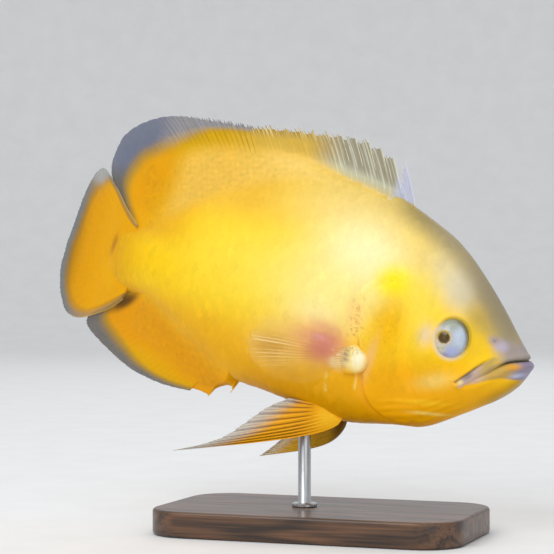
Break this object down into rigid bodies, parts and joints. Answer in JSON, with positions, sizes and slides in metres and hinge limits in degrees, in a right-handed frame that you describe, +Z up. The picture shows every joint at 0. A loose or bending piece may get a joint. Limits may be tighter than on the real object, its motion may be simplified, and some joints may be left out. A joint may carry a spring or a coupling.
{
  "type": "oscar fish",
  "caption": "Adult lemon oscar fish, life size, nose down with its tail bent to the left, held over a flat base by one rod under its belly",
  "frame": {"origin": "middle of the flat underside of the stand's base, which rests on the ground", "axes": "+Z up, +X the way the fish's head points, along the base's long side and the model's longest extent, +Y to the fish's left"},
  "size_m": [0.258, 0.0842, 0.2],
  "materials": {
    "skin": "moist scaled skin, yellow to orange with a cream upper flank and a grey-lavender snout",
    "lips": "smooth moist skin, lavender grey",
    "eye": "polished, pale lavender iris round a dark gold-ringed pupil",
    "fin": "thin ribbed skin, orange with a grey-lavender edge",
    "clear_fin": "thin clear skin between pale rays",
    "stand_wood": "dark satin walnut",
    "stand_steel": "brushed rod"
  },
  "bodies": {
    "root": {"head": "skin", "upper_jaw": "lips", "lower_jaw": "lips", "gill_cover_right": "skin", "gill_cover_left": "skin", "trunk": "skin", "tail_stalk": "skin", "eye_right": "eye", "eye_left": "eye", "dorsal_fin_spiny": "clear_fin", "dorsal_fin_soft": "fin", "anal_fin_spiny": "fin", "anal_fin_soft": "fin", "caudal_fin": "fin", "pectoral_fin_right": "clear_fin", "pectoral_fin_left": "clear_fin", "pelvic_fin_right": "fin", "pelvic_fin_left": "fin", "stand_base": "stand_wood", "stand_rod": "stand_steel"}
  },
  "joints": []
}
